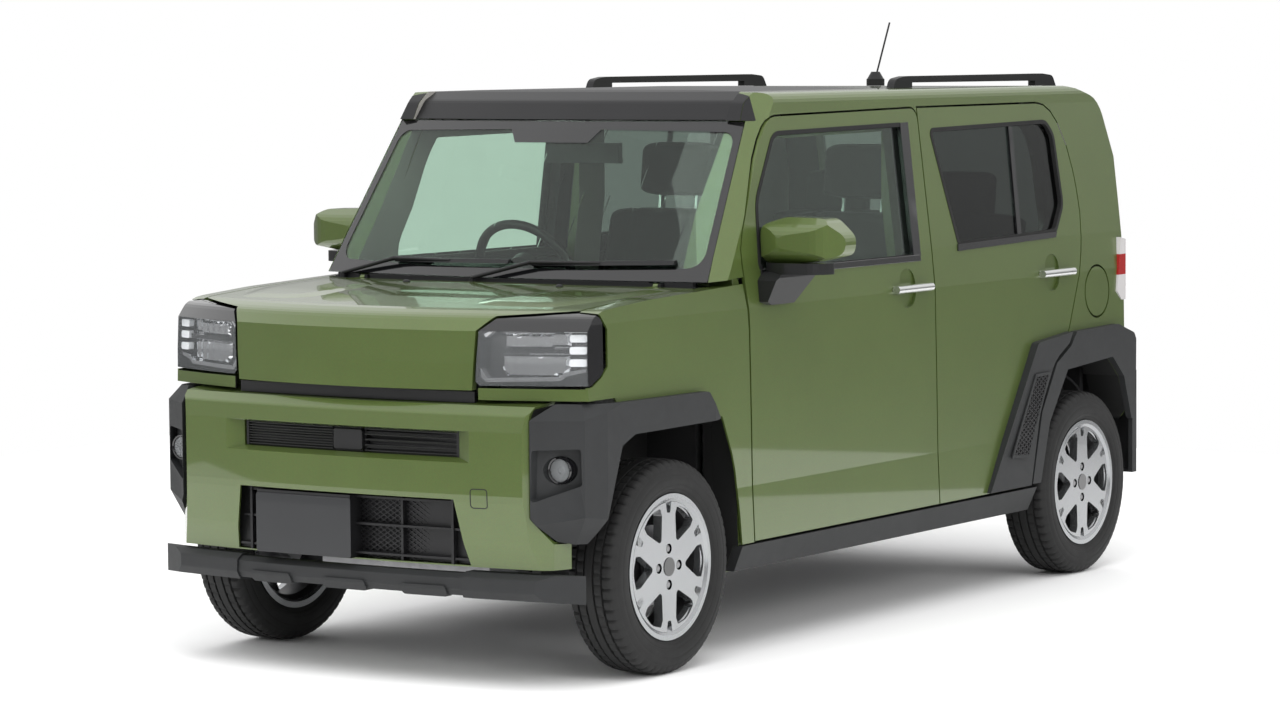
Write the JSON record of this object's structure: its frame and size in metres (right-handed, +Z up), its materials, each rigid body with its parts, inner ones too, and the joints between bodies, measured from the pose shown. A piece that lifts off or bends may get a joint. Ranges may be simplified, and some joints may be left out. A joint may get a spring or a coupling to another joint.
{
  "type": "kei car",
  "caption": "Tall boxy kei car with opening doors, bonnet and tailgate, steered front wheels, dark wheel arch claddings, roof rails and a furnished cabin.",
  "frame": {"origin": "on the ground under the middle of the car", "axes": "+Z up, -Y to the front, +X to the car's left"},
  "size_m": [1.9088, 3.3949, 1.8014],
  "materials": {
    "paint": "metallic",
    "cladding": "grained",
    "black_plastic": "satin",
    "chassis_black": "satin",
    "roof_black": "gloss",
    "clear_lens": "clear",
    "red_lens": "gloss",
    "window_glass": "tinted",
    "seat_cloth": "woven",
    "bare_metal": "satin",
    "alloy": "silver",
    "tyre": "matte"
  },
  "bodies": {
    "body": {"floor_pan": "paint", "body_sides": "paint", "roof_panel": "paint", "roof_glass": "roof_black", "fenders": "paint", "bumper_front": "paint", "grille": "black_plastic", "front_trim": "cladding", "front_claddings": "cladding", "front_lamps": "clear_lens", "windscreen": "window_glass", "cowl": "black_plastic", "wipers": "black_plastic", "roof_rails": "black_plastic", "antenna": "black_plastic", "rear_claddings": "cladding", "sill_claddings": "cladding", "bumper_rear": "cladding", "tail_lamps": "red_lens", "dashboard": "black_plastic", "front_seats": "seat_cloth", "rear_seat": "seat_cloth", "room_mirror": "black_plastic", "engine": "bare_metal", "front_subframe": "chassis_black", "rear_axle": "chassis_black", "exhaust": "bare_metal", "fuel_tank": "chassis_black"},
    "bonnet": {"bonnet": "paint"},
    "tailgate": {"tailgate": "paint", "tailgate_glass": "window_glass"},
    "fuel_door": {"fuel_door": "paint"},
    "steering_wheel": {"steering_wheel": "black_plastic"},
    "knuckle_left": {"knuckle_left": "bare_metal"},
    "knuckle_right": {"knuckle_right": "bare_metal"},
    "door_front_left": {"door_front_left": "paint", "glass_front_left": "window_glass", "mirror_left": "black_plastic"},
    "door_rear_left": {"door_rear_left": "paint", "glass_rear_left": "window_glass"},
    "wheel_front_left": {"tyre_front_left": "tyre", "rim_front_left": "alloy"},
    "wheel_rear_left": {"tyre_rear_left": "tyre", "rim_rear_left": "alloy"},
    "door_front_right": {"door_front_right": "paint", "glass_front_right": "window_glass", "mirror_right": "black_plastic"},
    "door_rear_right": {"door_rear_right": "paint", "glass_rear_right": "window_glass"},
    "wheel_front_right": {"tyre_front_right": "tyre", "rim_front_right": "alloy"},
    "wheel_rear_right": {"tyre_rear_right": "tyre", "rim_rear_right": "alloy"}
  },
  "joints": [
    {"name": "bonnet_hinge", "type": "hinge", "parent": "body", "child": "bonnet", "pos_m": [0, -0.9145, 1.051], "axis": [-1, 0, 0], "range_deg": [0, 50]},
    {"name": "door_front_left_hinge", "type": "hinge", "parent": "body", "child": "door_front_left", "pos_m": [0.6895, -0.6665, 0.675], "axis": [0, 0, -1], "range_deg": [0, 65]},
    {"name": "door_rear_left_hinge", "type": "hinge", "parent": "body", "child": "door_rear_left", "pos_m": [0.6895, 0.3995, 0.675], "axis": [0, 0, -1], "range_deg": [0, 65]},
    {"name": "door_front_right_hinge", "type": "hinge", "parent": "body", "child": "door_front_right", "pos_m": [-0.6895, -0.6665, 0.675], "axis": [0, 0, 1], "range_deg": [0, 65]},
    {"name": "door_rear_right_hinge", "type": "hinge", "parent": "body", "child": "door_rear_right", "pos_m": [-0.6895, 0.3995, 0.675], "axis": [0, 0, 1], "range_deg": [0, 65]},
    {"name": "tailgate_hinge", "type": "hinge", "parent": "body", "child": "tailgate", "pos_m": [0, 1.3675, 1.578], "axis": [1, 0, 0], "range_deg": [0, 80]},
    {"name": "fuel_door_hinge", "type": "hinge", "parent": "body", "child": "fuel_door", "pos_m": [0.70271, 1.3625, 0.916], "axis": [0, 0, -1], "range_deg": [0, 70]},
    {"name": "steer_left", "type": "hinge", "parent": "body", "child": "knuckle_left", "pos_m": [0.6145, -1.1625, 0.2], "axis": [-0.2079, 0, 0.9781], "range_deg": [-33, 33]},
    {"name": "steer_right", "type": "hinge", "parent": "body", "child": "knuckle_right", "pos_m": [-0.6145, -1.1625, 0.2], "axis": [0.2079, 0, 0.9781], "range_deg": [-33, 33]},
    {"name": "steering_wheel_turn", "type": "hinge", "parent": "body", "child": "steering_wheel", "pos_m": [-0.345, -0.325, 1.04], "axis": [0, 0.891, 0.454], "range_deg": [-495, 495]},
    {"name": "wheel_front_left_spin", "type": "hinge", "parent": "knuckle_left", "child": "wheel_front_left", "pos_m": [0.6525, -1.1625, 0.2975], "axis": [1, 0, 0], "continuous": true},
    {"name": "wheel_rear_left_spin", "type": "hinge", "parent": "body", "child": "wheel_rear_left", "pos_m": [0.6475, 1.2975, 0.2975], "axis": [1, 0, 0], "continuous": true},
    {"name": "wheel_front_right_spin", "type": "hinge", "parent": "knuckle_right", "child": "wheel_front_right", "pos_m": [-0.6525, -1.1625, 0.2975], "axis": [1, 0, 0], "continuous": true},
    {"name": "wheel_rear_right_spin", "type": "hinge", "parent": "body", "child": "wheel_rear_right", "pos_m": [-0.6475, 1.2975, 0.2975], "axis": [1, 0, 0], "continuous": true}
  ],
  "couplings": [
    {"joint": "steer_right", "follows": "steer_left", "ratio": 1},
    {"joint": "steering_wheel_turn", "follows": "steer_left", "ratio": 15}
  ]
}
